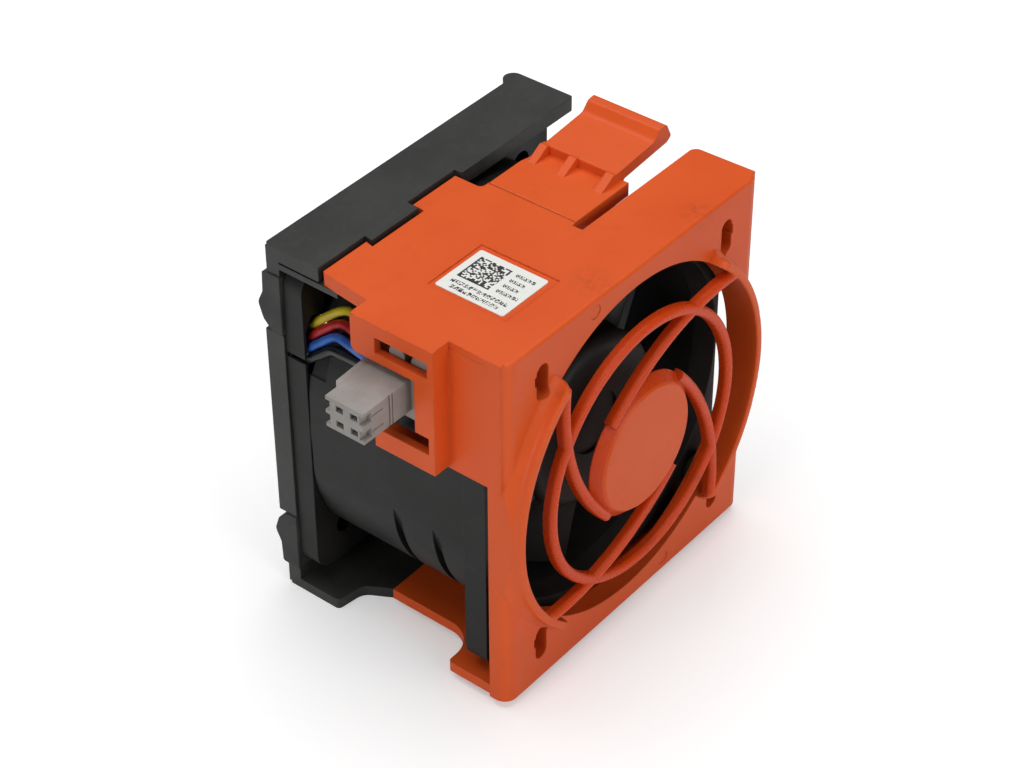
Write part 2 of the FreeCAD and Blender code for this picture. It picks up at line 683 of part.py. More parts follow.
# ---------------------------------------------------------------- connector
def plug_rows():
    middle = carrier_top - (plug_z[0] + plug_z[1]) / 2
    return middle - pin_pitch / 2, middle + pin_pitch / 2


def plug_columns():
    return plug_y[0] + 2.0, plug_y[0] + 2.0 + pin_pitch


def connector_housing():
    top, low = carrier_top - plug_z[0], carrier_top - plug_z[1]
    y0, y1 = plug_y
    inner = -bracket_x + bracket_t
    front = -plug_x0
    block_back = -fan_half - 0.7
    body = box(front, inner, y0, y1, low, top)
    block = box(inner, block_back, plug_block_y[0], plug_block_y[1], carrier_top - 16.9, carrier_top - 6.7)
    lug = Part.makeCylinder(1.6, 1.4, Vector(inner + 0.2, 20.2, carrier_top - 5.4), Vector(1, 0, 0))
    lug_base = box(inner + 0.2, inner + 1.6, 18.6, 21.8, carrier_top - 7.0, carrier_top - 5.4)
    ear = prism_yz([(13.2, carrier_top - 7.0), (17.6, carrier_top - 7.0), (17.0, carrier_top - 4.2, 1.6),
                    (13.2, carrier_top - 3.4, 0.8)], inner + 0.2, inner + 1.6)
    ribs = [box(front, inner, y1 - 0.1, y1 + 0.9, z, z + 0.7)
            for z in (low, (low + top) / 2 - 0.35, top - 0.7)]
    arm = prism_xy([(-45.2, y1 + 0.8), (-44.0, y1 + 2.2, 0.6), (inner, y1 + 2.6), (inner, y1 - 0.1),
                    (-45.2, y1 - 0.1)], top - 1.4, top - 0.2)
    body = fuse([body, block, lug, lug_base, ear, arm] + ribs)
    cuts = []
    for z in plug_rows():
        for y in plug_columns():
            cuts.append(box(front - 1, front + 12, y - 0.75, y + 0.75, z - 0.6, z + 0.6))
        cuts.append(box(front - 1, front + 1.9, y0 - 1, y0 + 0.9, z - 0.9, z + 0.9))
        cuts.append(box(front + 1.5, front + 4.6, y0 - 1, y0 + 0.15, z - 0.15, z + 0.15))
    for run in wire_runs:
        points = wire_points(*run[1:])
        cuts.append(Part.makeCylinder(wire_r + 0.03, 3.0, points[-1], points[-2] - points[-1]))
    groove = front + 6.0
    cuts.append(box(groove, groove + 0.3, y0 - 1, y0 + 0.2, low - 1, top + 1))
    cuts.append(box(groove + 0.8, groove + 1.0, y0 - 1, y0 + 0.2, low - 1, top + 1))
    return cut(body, cuts)


def connector_terminals():
    """Spring sockets on the floors of the four cavities."""
    front = -plug_x0
    parts = []
    for z in plug_rows():
        for y in plug_columns():
            outer = box(front + 1.2, front + 12, y - 0.75, y + 0.75, z - 0.6, z + 0.3)
            parts.append(outer.cut(box(front, front + 9.0, y - 0.5, y + 0.5, z - 0.4, z + 1)))
    return Part.makeCompound(parts)


# ---------------------------------------------------------------- wires
def rounded_path(points, radius):
    """Straight runs joined by tangent arcs; the radius shrinks where a run is short."""
    edges = []
    start = points[0]
    length = 0.0
    radii = []
    for i in range(1, len(points) - 1):
        here = points[i]
        before = points[i - 1] - here
        after = points[i + 1] - here
        half = (math.pi - before.getAngle(after)) / 2
        if half < 1e-4:
            continue
        limit = 0.7 * min(before.Length, after.Length) / math.tan(half)
        r = min(radius, limit)
        radii.append(r)
        reach = r * math.tan(half)
        before.normalize()
        after.normalize()
        a = here + before * reach
        b = here + after * reach
        bisector = before + after
        bisector.normalize()
        mid = here + bisector * (r / math.cos(half) - r)
        edges.append(Part.makeLine(start, a))
        edges.append(Part.Arc(a, mid, b).toShape())
        length += start.distanceToPoint(a) + 2 * half * r
        start = b
    edges.append(Part.makeLine(start, points[-1]))
    length += start.distanceToPoint(points[-1])
    return Part.Wire(edges), length, radii


def wire(name, lane, climbed, x, plug_drop):
    points = wire_points(lane, climbed, x, plug_drop)
    path, length, radii = rounded_path(points, wire_bend)
    profile = Part.Wire(Part.Circle(points[0], points[1] - points[0], wire_r).toShape())
    solid = path.makePipeShell([profile], True, False)
    want = math.pi * wire_r ** 2 * length
    print("%s volume %.2f of %.2f, bend radii %s" %
          (name, solid.Volume, want, " ".join("%.2f" % r for r in radii)))
    return solid


# ---------------------------------------------------------------- build
save("front_carrier", front_carrier())
save("release_latch", release_latch())
save("rear_frame", rear_frame())
save("rear_isolators", rear_isolators())
save("front_isolators", front_isolators())
save("fan_housing", fan_housing())
save("impeller", impeller())
save("rotor_yoke", rotor_yoke())
save("magnet_ring", magnet_ring())
save("rotor_shaft", rotor_shaft())
save("shaft_clip", shaft_clip())
save("front_bearing", bearing(front_bearing_y))
save("rear_bearing", bearing(rear_bearing_y))
save("bearing_sleeve", bearing_sleeve())
save("stator_core", stator_core())
save("stator_coils", stator_coils())
save("motor_board", motor_board())
save("hub_label", hub_label())
save("top_label", top_label())
save("fan_label", fan_label())
save("connector_housing", connector_housing())
save("connector_terminals", connector_terminals())
for run in wire_runs:
    save(run[0], wire(*run))
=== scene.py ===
import json
import math
import bpy
from mathutils import Matrix, Vector


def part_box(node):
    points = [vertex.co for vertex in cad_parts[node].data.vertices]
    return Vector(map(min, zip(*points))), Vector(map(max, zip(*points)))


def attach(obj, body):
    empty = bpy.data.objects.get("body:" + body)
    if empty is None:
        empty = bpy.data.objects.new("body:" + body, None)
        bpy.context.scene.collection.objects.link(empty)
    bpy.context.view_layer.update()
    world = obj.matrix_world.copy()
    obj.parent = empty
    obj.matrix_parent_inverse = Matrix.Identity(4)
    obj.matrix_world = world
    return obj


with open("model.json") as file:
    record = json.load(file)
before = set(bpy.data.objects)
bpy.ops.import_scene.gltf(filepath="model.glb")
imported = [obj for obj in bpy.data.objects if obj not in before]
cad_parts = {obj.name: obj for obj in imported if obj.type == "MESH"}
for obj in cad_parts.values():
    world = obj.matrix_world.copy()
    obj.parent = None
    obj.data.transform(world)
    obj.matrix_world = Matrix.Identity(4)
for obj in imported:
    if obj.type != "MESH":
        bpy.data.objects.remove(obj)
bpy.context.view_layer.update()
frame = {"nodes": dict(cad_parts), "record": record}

nodes = frame["nodes"]
mm = 0.001
print("frame loaded, %d CAD nodes" % len(nodes))

# ---- camera, lights and table

shot = {
    "eye": Vector((-278.95, -240.535, 322.74)) * mm,
    "aim": Vector((-6.49, -21.005, 43.84)) * mm,
    "lens": 92.38,
    "roll": -0.201,
}


def makeCamera():
    cam = bpy.data.cameras.new("productCamera")
    cam.lens = shot["lens"]
    cam.sensor_width = 36.0
    cam.clip_start = 0.01
    cam.clip_end = 20.0
    obj = bpy.data.objects.new("productCamera", cam)
    look = (shot["aim"] - shot["eye"]).to_track_quat("-Z", "Y").to_matrix().to_4x4()
    obj.matrix_world = (Matrix.Translation(shot["eye"]) @ look
                        @ Matrix.Rotation(math.radians(shot["roll"]), 4, "Z"))
    bpy.context.scene.collection.objects.link(obj)
    bpy.context.scene.camera = obj


lamps = {
    "overhead": {"at": (0.05, 0.10, 0.80), "size": (0.9, 0.9), "watts": 6.4},
    "front": {"at": (-0.02, -0.90, 0.40), "size": (0.7, 0.6), "watts": 3.45},
    "leftSide": {"at": (-0.88, 0.04, 0.32), "size": (0.5, 0.6), "watts": 2.6},
}


def makeLamps():
    for name, lamp in lamps.items():
        data = bpy.data.lights.new(name, "AREA")
        data.shape = "RECTANGLE"
        data.size, data.size_y = lamp["size"]
        data.energy = lamp["watts"]
        obj = bpy.data.objects.new(name, data)
        obj.location = lamp["at"]
        aim = Vector((0, 0, 0.04)) - obj.location
        obj.rotation_euler = aim.to_track_quat("-Z", "Y").to_euler()
        bpy.context.scene.collection.objects.link(obj)


table = {"half": 3.0, "colour": (0.84, 0.84, 0.84, 1), "glow": 0.32, "sky": 0.03}


def makeTable():
    s = table["half"]
    mesh = bpy.data.meshes.new("table")
    mesh.from_pydata([(-s, -s, 0), (s, -s, 0), (s, s, 0), (-s, s, 0)], [], [(0, 1, 2, 3)])
    obj = bpy.data.objects.new("table", mesh)
    bpy.context.scene.collection.objects.link(obj)
    mat = bpy.data.materials.new("tablePaper")
    mat.use_nodes = True
    paper = mat.node_tree.nodes["Principled BSDF"]
    paper.inputs["Base Color"].default_value = table["colour"]
    paper.inputs["Roughness"].default_value = 0.9
    # backlit paper: the glow whitens the sheet for the camera and lights nothing
    paper.inputs["Emission Color"].default_value = (1, 1, 1, 1)
    ray = mat.node_tree.nodes.new("ShaderNodeLightPath")
    glow = mat.node_tree.nodes.new("ShaderNodeMath")
    glow.operation = "MULTIPLY"
    glow.inputs[1].default_value = table["glow"]
    mat.node_tree.links.new(ray.outputs["Is Camera Ray"], glow.inputs[0])
    mat.node_tree.links.new(glow.outputs[0], paper.inputs["Emission Strength"])
    mesh.materials.append(mat)
    world = bpy.data.worlds.new("studioSky")
    world.use_nodes = True
    world.node_tree.nodes["Background"].inputs["Color"].default_value = (1, 1, 1, 1)
    world.node_tree.nodes["Background"].inputs["Strength"].default_value = table["sky"]
    bpy.context.scene.world = world
    bpy.context.scene.view_settings.view_transform = "Standard"


makeCamera()
makeLamps()
makeTable()
print("camera and lights set")

# ---- node helpers


def addNode(tree, kind, **fields):
    node = tree.nodes.new(kind)
    for key, value in fields.items():
        setattr(node, key, value)
    return node


def feed(tree, socket, value):
    if isinstance(value, bpy.types.NodeSocket):
        tree.links.new(value, socket)
    else:
        socket.default_value = value


def calc(tree, op, a, b=0.0, clamp=False):
    node = addNode(tree, "ShaderNodeMath", operation=op, use_clamp=clamp)
    feed(tree, node.inputs[0], a)
    feed(tree, node.inputs[1], b)
    return node.outputs[0]


def blendColour(tree, mask, a, b, how="MIX"):
    node = addNode(tree, "ShaderNodeMix", data_type="RGBA", blend_type=how)
    feed(tree, node.inputs[0], mask)
    feed(tree, node.inputs[6], a)
    feed(tree, node.inputs[7], b)
    return node.outputs[2]


def remap(tree, value, low, high, toLow=0.0, toHigh=1.0):
    node = addNode(tree, "ShaderNodeMapRange")
    feed(tree, node.inputs["Value"], value)
    for key, number in (("From Min", low), ("From Max", high), ("To Min", toLow), ("To Max", toHigh)):
        node.inputs[key].default_value = number
    return node.outputs["Result"]


def noise(tree, place, scale, detail=2.0, rough=0.5):
    node = addNode(tree, "ShaderNodeTexNoise")
    feed(tree, node.inputs["Vector"], place)
    feed(tree, node.inputs["Scale"], scale)
    node.inputs["Detail"].default_value = detail
    node.inputs["Roughness"].default_value = rough
    return node.outputs["Fac"]


def objectPlace(tree):
    return addNode(tree, "ShaderNodeTexCoord").outputs["Object"]


def startGroup(name, ins, outs):
    group = bpy.data.node_groups.new(name, "ShaderNodeTree")
    for label, kind, value in ins:
        socket = group.interface.new_socket(name=label, in_out="INPUT", socket_type=kind)
        socket.default_value = value
    for label, kind in outs:
        group.interface.new_socket(name=label, in_out="OUTPUT", socket_type=kind)
    return group, addNode(group, "NodeGroupInput"), addNode(group, "NodeGroupOutput")


def useGroup(tree, group, **values):
    node = addNode(tree, "ShaderNodeGroup", node_tree=group)
    for label, value in values.items():
        feed(tree, node.inputs[label], value)
    return node


# ---- shared effects


def buildMouldGrain():
    # fine spark texture of the mould as a height, and slow flow marks as a tone
    g, i, o = startGroup("mouldGrain",
                         [("Scale", "NodeSocketFloat", 4000.0), ("Flow", "NodeSocketFloat", 60.0)],
                         [("Height", "NodeSocketFloat"), ("Tone", "NodeSocketFloat")])
    place = objectPlace(g)
    g.links.new(noise(g, place, i.outputs["Scale"], 3.0, 0.6), o.inputs["Height"])
    slow = noise(g, place, i.outputs["Flow"], 4.0, 0.55)
    g.links.new(remap(g, slow, 0.35, 0.65), o.inputs["Tone"])
    return g


def buildEdgeRub():
    # thin broken line along outer edges, from the difference between a rounded and the true normal
    g, i, o = startGroup("edgeRub",
                         [("Width", "NodeSocketFloat", 0.0003), ("Breakup", "NodeSocketFloat", 300.0)],
                         [("Mask", "NodeSocketFloat")])
    round_ = addNode(g, "ShaderNodeBevel", samples=4)
    g.links.new(i.outputs["Width"], round_.inputs["Radius"])
    true_ = addNode(g, "ShaderNodeNewGeometry")
    dot = addNode(g, "ShaderNodeVectorMath", operation="DOT_PRODUCT")
    g.links.new(round_.outputs["Normal"], dot.inputs[0])
    g.links.new(true_.outputs["Normal"], dot.inputs[1])
    edge = remap(g, dot.outputs["Value"], 0.995, 0.85)
    chips = remap(g, noise(g, objectPlace(g), i.outputs["Breakup"], 5.0, 0.6), 0.42, 0.62)
    g.links.new(calc(g, "MULTIPLY", edge, chips), o.inputs["Mask"])
    return g


def buildGrime():
    # cloudy patches, sharper as Cover goes down
    g, i, o = startGroup("grime", [("Scale", "NodeSocketFloat", 150.0), ("Cover", "NodeSocketFloat", 0.4)],
                         [("Mask", "NodeSocketFloat")])
    cloud = noise(g, objectPlace(g), i.outputs["Scale"], 6.0, 0.62)
    level = calc(g, "SUBTRACT", 1.0, i.outputs["Cover"])
    over = calc(g, "SUBTRACT", cloud, calc(g, "MULTIPLY", level, 0.8))
    g.links.new(calc(g, "MULTIPLY", over, 6.0, clamp=True), o.inputs["Mask"])
    return g


def buildSpot():
    # soft round patch at one place on the part, roughened by a cloud
    g, i, o = startGroup("spot",
                         [("Centre", "NodeSocketVector", (0, 0, 0)), ("Radius", "NodeSocketFloat", 0.003)],
                         [("Mask", "NodeSocketFloat")])
    place = objectPlace(g)
    away = addNode(g, "ShaderNodeVectorMath", operation="DISTANCE")
    g.links.new(place, away.inputs[0])
    g.links.new(i.outputs["Centre"], away.inputs[1])
    near = calc(g, "SUBTRACT", 1.0, calc(g, "DIVIDE", away.outputs["Value"], i.outputs["Radius"]), clamp=True)
    cloud = remap(g, noise(g, place, 900.0, 5.0, 0.6), 0.40, 0.66)
    g.links.new(calc(g, "MULTIPLY", near, cloud, clamp=True), o.inputs["Mask"])
    return g


def buildPrintBlock():
    # block of random dots on a grid inside a window; Gap leaves every nth column blank
    g, i, o = startGroup("printBlock", [
        ("Across", "NodeSocketFloat", 0.0), ("Down", "NodeSocketFloat", 0.0),
        ("Left", "NodeSocketFloat", 0.0), ("Right", "NodeSocketFloat", 1.0),
        ("Top", "NodeSocketFloat", 0.0), ("Bottom", "NodeSocketFloat", 1.0),
        ("Pitch", "NodeSocketFloat", 0.3), ("Fill", "NodeSocketFloat", 0.5),
        ("Gap", "NodeSocketFloat", 1000.0)], [("Mask", "NodeSocketFloat")])
    across = calc(g, "SUBTRACT", i.outputs["Across"], i.outputs["Left"])
    down = calc(g, "SUBTRACT", i.outputs["Down"], i.outputs["Top"])
    column = calc(g, "FLOOR", calc(g, "DIVIDE", across, i.outputs["Pitch"]))
    row = calc(g, "FLOOR", calc(g, "DIVIDE", down, i.outputs["Pitch"]))
    cell = addNode(g, "ShaderNodeCombineXYZ")
    g.links.new(column, cell.inputs[0])
    g.links.new(row, cell.inputs[1])
    g.links.new(i.outputs["Left"], cell.inputs[2])
    dice = addNode(g, "ShaderNodeTexWhiteNoise", noise_dimensions="3D")
    g.links.new(cell.outputs[0], dice.inputs["Vector"])
    dots = calc(g, "LESS_THAN", dice.outputs["Value"], i.outputs["Fill"])
    step = calc(g, "MODULO", column, i.outputs["Gap"])
    dots = calc(g, "MULTIPLY", dots, calc(g, "LESS_THAN", step, calc(g, "SUBTRACT", i.outputs["Gap"], 1.0)))
    dots = calc(g, "MULTIPLY", dots, calc(g, "GREATER_THAN", across, 0.0))
    dots = calc(g, "MULTIPLY", dots, calc(g, "GREATER_THAN", down, 0.0))
    dots = calc(g, "MULTIPLY", dots, calc(g, "LESS_THAN", i.outputs["Across"], i.outputs["Right"]))
    dots = calc(g, "MULTIPLY", dots, calc(g, "LESS_THAN", i.outputs["Down"], i.outputs["Bottom"]))
    g.links.new(dots, o.inputs["Mask"])
    return g


mouldGrain = buildMouldGrain()
edgeRub = buildEdgeRub()
grime = buildGrime()
spot = buildSpot()
printBlock = buildPrintBlock()
print("shared effects built")

# ---- materials


def startMaterial(name):
    mat = bpy.data.materials.new(name)
    mat.use_nodes = True
    return mat, mat.node_tree, mat.node_tree.nodes["Principled BSDF"]


def surfaceNormal(tree, shader, height, distance, strength, edge):
    # rounded edges under the fine bump
    bump = addNode(tree, "ShaderNodeBump")
    bump.inputs["Distance"].default_value = distance
    bump.inputs["Strength"].default_value = strength
    feed(tree, bump.inputs["Height"], height)
    if edge > 0:
        soft = addNode(tree, "ShaderNodeBevel", samples=4)
        soft.inputs["Radius"].default_value = edge
        tree.links.new(soft.outputs["Normal"], bump.inputs["Normal"])
    tree.links.new(bump.outputs["Normal"], shader.inputs["Normal"])


orange = {
    "colour": (0.70, 0.086, 0.011, 1), "pale": (0.75, 0.112, 0.020, 1), "rubbed": (0.80, 0.19, 0.06, 1),
    "dirt": (0.16, 0.035, 0.012, 1), "rough": (0.36, 0.46), "shine": 0.25, "grain": 5200.0, "flow": 45.0,
    "bump": 0.000012, "edge": 0.00028,
    # bars and duct inside the guard: distance from the fan axis, colours and gloss; the deeper, darker orange
    # there is painted shade of the recess and its orange-on-orange bounce, the gloss is the real finish
    "duct": {"height": 0.03795, "reach": (0.0120, 0.0323), "colour": (0.66, 0.058, 0.005, 1),
             "rough": (0.22, 0.40), "stipple": 2600.0, "depth": 9.0},
    # place, radius and darkness of the marks that handling left
    "marks": [((-0.0080, -0.0385, 0.0743), 0.0050, 0.30), ((0.0185, -0.0400, 0.0743), 0.0042, 0.35),
              ((-0.0235, -0.0441, 0.0640), 0.0020, 0.35), ((0.0020, -0.0449, 0.0150), 0.0030, 0.45),
              ((0.0160, -0.0449, 0.0200), 0.0030, 0.40)],
}


def buildDuctZone():
    # one between the guard's disc and the wall of its duct, nought elsewhere
    duct = orange["duct"]
    g, i, o = startGroup("ductZone", [("Inner", "NodeSocketFloat", duct["reach"][0]),
                                      ("Outer", "NodeSocketFloat", duct["reach"][1])],
                         [("Mask", "NodeSocketFloat")])
    split = addNode(g, "ShaderNodeSeparateXYZ")
    g.links.new(objectPlace(g), split.inputs[0])
    up = calc(g, "SUBTRACT", split.outputs[2], duct["height"])
    acrossSquare = calc(g, "MULTIPLY", split.outputs[0], split.outputs[0])
    square = calc(g, "ADD", acrossSquare, calc(g, "MULTIPLY", up, up))
    away = calc(g, "SQRT", square)
    inside = calc(g, "LESS_THAN", away, i.outputs["Outer"])
    beyond = calc(g, "GREATER_THAN", away, i.outputs["Inner"])
    g.links.new(calc(g, "MULTIPLY", inside, beyond), o.inputs["Mask"])
    return g


def orangePlastic():
    mat, tree, shader = startMaterial("orangePlastic")
    look = useGroup(tree, mouldGrain, Scale=orange["grain"], Flow=orange["flow"])
    duct = orange["duct"]
    ductShadeAndGloss = useGroup(tree, buildDuctZone()).outputs["Mask"]
    flow = calc(tree, "MULTIPLY", look.outputs["Tone"], 0.55)
    colour = blendColour(tree, flow, orange["colour"], orange["pale"])
    # painted shade: inside the guard the bars and duct wall take a deeper, darker orange
    colour = blendColour(tree, ductShadeAndGloss, colour, duct["colour"])
    rub = useGroup(tree, edgeRub, Width=0.00035, Breakup=420.0)
    colour = blendColour(tree, calc(tree, "MULTIPLY", rub.outputs["Mask"], 0.5), colour, orange["rubbed"])
    film = useGroup(tree, grime, Scale=260.0, Cover=0.30)
    colour = blendColour(tree, calc(tree, "MULTIPLY", film.outputs["Mask"], 0.06), colour, orange["dirt"])
    for centre, radius, dark in orange["marks"]:
        mark = useGroup(tree, spot, Centre=centre, Radius=radius)
        colour = blendColour(tree, calc(tree, "MULTIPLY", mark.outputs["Mask"], dark), colour, orange["dirt"])
    feed(tree, shader.inputs["Base Color"], colour)
    matt = remap(tree, look.outputs["Height"], 0.3, 0.7, *orange["rough"])
    stipple = noise(tree, objectPlace(tree), duct["stipple"], 3.0, 0.65)
    gloss = remap(tree, stipple, 0.3, 0.7, *duct["rough"])
    mixed = addNode(tree, "ShaderNodeMix", data_type="FLOAT")
    feed(tree, mixed.inputs[0], ductShadeAndGloss)
    feed(tree, mixed.inputs[2], matt)
    feed(tree, mixed.inputs[3], gloss)
    feed(tree, shader.inputs["Roughness"], mixed.outputs[0])
    shader.inputs["Specular IOR Level"].default_value = orange["shine"]
    raised = calc(tree, "MULTIPLY", calc(tree, "MULTIPLY", stipple, ductShadeAndGloss), duct["depth"])
    height = calc(tree, "ADD", look.outputs["Height"], raised)
    surfaceNormal(tree, shader, height, orange["bump"], 0.8, orange["edge"])
    return mat


black = {"colour": (0.020, 0.020, 0.019, 1), "pale": (0.033, 0.033, 0.031, 1),
         "rubbed": (0.10, 0.10, 0.095, 1), "dust": (0.20, 0.19, 0.17, 1), "rough": (0.40, 0.55), "shine": 0.50, "grain": 3600.0, "flow": 70.0,
         "bump": 0.000016, "edge": 0.00025}


def blackPlastic():
    mat, tree, shader = startMaterial("blackPlastic")
    look = useGroup(tree, mouldGrain, Scale=black["grain"], Flow=black["flow"])
    colour = blendColour(tree, look.outputs["Tone"], black["colour"], black["pale"])
    rub = useGroup(tree, edgeRub, Width=0.0003, Breakup=350.0)
    colour = blendColour(tree, calc(tree, "MULTIPLY", rub.outputs["Mask"], 0.35), colour, black["rubbed"])
    dust = useGroup(tree, grime, Scale=500.0, Cover=0.34)
    colour = blendColour(tree, calc(tree, "MULTIPLY", dust.outputs["Mask"], 0.05), colour, black["dust"])
    feed(tree, shader.inputs["Base Color"], colour)
    low, high = black["rough"]
    feed(tree, shader.inputs["Roughness"], remap(tree, look.outputs["Height"], 0.3, 0.7, low, high))
    shader.inputs["Specular IOR Level"].default_value = black["shine"]
    surfaceNormal(tree, shader, look.outputs["Height"], black["bump"], 0.9, black["edge"])
    return mat


fanBody = {"colour": (0.010, 0.010, 0.0095, 1), "pale": (0.018, 0.018, 0.017, 1),
           "fibre": (0.040, 0.040, 0.038, 1), "rough": (0.42, 0.60), "shine": 0.30,
           "grain": 2400.0, "flow": 90.0, "bump": 0.000020, "edge": 0.00025}


def fanPlastic():
    mat, tree, shader = startMaterial("fanPlastic")
    look = useGroup(tree, mouldGrain, Scale=fanBody["grain"], Flow=fanBody["flow"])
    colour = blendColour(tree, look.outputs["Tone"], fanBody["colour"], fanBody["pale"])
    stretch = addNode(tree, "ShaderNodeMapping")
    stretch.inputs["Scale"].default_value = (1.0, 0.12, 1.0)
    tree.links.new(objectPlace(tree), stretch.inputs["Vector"])
    fibre = remap(tree, noise(tree, stretch.outputs["Vector"], 2200.0, 3.0), 0.62, 0.78)
    colour = blendColour(tree, calc(tree, "MULTIPLY", fibre, 0.5), colour, fanBody["fibre"])
    feed(tree, shader.inputs["Base Color"], colour)
    low, high = fanBody["rough"]
    feed(tree, shader.inputs["Roughness"], remap(tree, look.outputs["Tone"], 0.0, 1.0, low, high))
    shader.inputs["Specular IOR Level"].default_value = fanBody["shine"]
    surfaceNormal(tree, shader, look.outputs["Height"], fanBody["bump"], 0.9, fanBody["edge"])
    return mat


rubberLook = {"colour": (0.020, 0.020, 0.020, 1), "bloom": (0.055, 0.054, 0.052, 1), "rough": (0.62, 0.80)}


def softRubber():
    mat, tree, shader = startMaterial("softRubber")
    look = useGroup(tree, mouldGrain, Scale=1800.0, Flow=160.0)
    colour = blendColour(tree, look.outputs["Tone"], rubberLook["colour"], rubberLook["bloom"])
    feed(tree, shader.inputs["Base Color"], colour)
    low, high = rubberLook["rough"]
    feed(tree, shader.inputs["Roughness"], remap(tree, look.outputs["Tone"], 0.0, 1.0, low, high))
    surfaceNormal(tree, shader, look.outputs["Height"], 0.000018, 0.8, 0.0005)
    return mat


plug = {"colour": (0.265, 0.248, 0.230, 1), "pale": (0.320, 0.303, 0.283, 1),
        "stain": (0.13, 0.118, 0.105, 1)}


def greyNylon():
    mat, tree, shader = startMaterial("greyNylon")
    look = useGroup(tree, mouldGrain, Scale=4200.0, Flow=220.0)
    colour = blendColour(tree, look.outputs["Tone"], plug["colour"], plug["pale"])
    stain = useGroup(tree, grime, Scale=420.0, Cover=0.30)
    colour = blendColour(tree, calc(tree, "MULTIPLY", stain.outputs["Mask"], 0.12), colour, plug["stain"])
    feed(tree, shader.inputs["Base Color"], colour)
    feed(tree, shader.inputs["Roughness"], remap(tree, look.outputs["Height"], 0.3, 0.7, 0.38, 0.52))
    shader.inputs["Subsurface Weight"].default_value = 0.06
    shader.inputs["Subsurface Radius"].default_value = (0.0012, 0.001, 0.0008)
    surfaceNormal(tree, shader, look.outputs["Height"], 0.000010, 0.7, 0.00012)
    return mat


def wireCover(name, colour, deep):
    mat, tree, shader = startMaterial(name)
    look = useGroup(tree, mouldGrain, Scale=2600.0, Flow=300.0)
    feed(tree, shader.inputs["Base Color"], blendColour(tree, look.outputs["Tone"], colour, deep))
    feed(tree, shader.inputs["Roughness"], remap(tree, look.outputs["Tone"], 0.0, 1.0, 0.28, 0.40))
    surfaceNormal(tree, shader, look.outputs["Height"], 0.000012, 0.5, 0.0)
    return mat


metalLooks = {
    # colour, darker, roughness low and high, grain scale
    "steel": ((0.58, 0.58, 0.59, 1), (0.36, 0.36, 0.37, 1), 0.24, 0.42, 1600.0),
    "brass": ((0.70, 0.50, 0.21, 1), (0.42, 0.27, 0.10, 1), 0.22, 0.40, 1400.0),
    "copper": ((0.66, 0.27, 0.11, 1), (0.36, 0.11, 0.04, 1), 0.25, 0.38, 1200.0),
    "terminal_metal": ((0.74, 0.68, 0.52, 1), (0.45, 0.40, 0.30, 1), 0.22, 0.36, 2200.0),
}


def workedMetal(name):
    bright, dull, low, high, scale = metalLooks[name]
    mat, tree, shader = startMaterial(name + "Finish")
    shader.inputs["Metallic"].default_value = 1.0
    look = useGroup(tree, mouldGrain, Scale=scale, Flow=180.0)
    turned = addNode(tree, "ShaderNodeMapping")
    turned.inputs["Scale"].default_value = (0.15, 1.0, 0.15)
    tree.links.new(objectPlace(tree), turned.inputs["Vector"])
    lines = noise(tree, turned.outputs["Vector"], scale * 4, 2.0)
    feed(tree, shader.inputs["Base Color"], blendColour(tree, look.outputs["Tone"], bright, dull))
    feed(tree, shader.inputs["Roughness"], remap(tree, lines, 0.3, 0.7, low, high))
    surfaceNormal(tree, shader, lines, 0.000006, 0.7, 0.0)
    return mat


def ferrite():
    mat, tree, shader = startMaterial("ferrite")
    look = useGroup(tree, mouldGrain, Scale=2800.0, Flow=240.0)
    feed(tree, shader.inputs["Base Color"],
         blendColour(tree, look.outputs["Tone"], (0.055, 0.055, 0.060, 1), (0.090, 0.090, 0.095, 1)))
    feed(tree, shader.inputs["Roughness"], remap(tree, look.outputs["Tone"], 0.0, 1.0, 0.5, 0.7))
    surfaceNormal(tree, shader, look.outputs["Height"], 0.000014, 0.8, 0.0)
    return mat


def solderMask():
    mat, tree, shader = startMaterial("solderMask")
    place = objectPlace(tree)
    weave = addNode(tree, "ShaderNodeTexBrick")
    weave.inputs["Scale"].default_value = 900.0
    tree.links.new(place, weave.inputs["Vector"])
    tracks = remap(tree, noise(tree, place, 420.0, 0.0), 0.48, 0.50)
    colour = blendColour(tree, tracks, (0.015, 0.13, 0.05, 1), (0.03, 0.22, 0.09, 1))
    feed(tree, shader.inputs["Base Color"], colour)
    feed(tree, shader.inputs["Roughness"], remap(tree, weave.outputs["Fac"], 0.0, 1.0, 0.25, 0.34))
    surfaceNormal(tree, shader, tracks, 0.00003, 0.6, 0.0)
    return mat


# ---- labels

topSticker = {
    "film": (0.84, 0.84, 0.80, 1), "shade": (0.76, 0.76, 0.72, 1), "ink": (0.035, 0.035, 0.037, 1),
    # left, right, top, bottom in millimetres from the sticker's rear right corner, pitch, fill, gap
    "blocks": [(1.3, 7.8, 1.5, 7.9, 0.32, 0.52, 1000.0), (1.3, 1.62, 1.5, 7.9, 0.32, 1.1, 1000.0),
               (1.3, 7.8, 7.58, 7.9, 0.32, 1.1, 1000.0),
               (8.9, 12.9, 1.6, 2.4, 0.16, 0.62, 5.0), (8.9, 12.1, 3.3, 4.1, 0.16, 0.62, 5.0),
               (8.9, 12.1, 5.0, 5.8, 0.16, 0.62, 5.0), (8.9, 13.2, 6.7, 7.5, 0.16, 0.62, 5.0),
               (1.4, 12.8, 8.8, 9.7, 0.18, 0.62, 5.0), (2.3, 12.0, 10.2, 11.1, 0.18, 0.62, 5.0)],
}
fanSticker = {
    "film": (0.74, 0.75, 0.74, 1), "shade": (0.62, 0.63, 0.62, 1), "ink": (0.03, 0.03, 0.03, 1),
    "blocks": [(0.8, 17.0, 0.9, 2.3, 0.28, 0.62, 5.0), (0.8, 17.0, 3.4, 4.8, 0.28, 0.62, 5.0),
               (0.8, 17.0, 6.0, 7.4, 0.28, 0.62, 5.0), (0.8, 17.0, 8.6, 10.0, 0.28, 0.62, 5.0)],
}


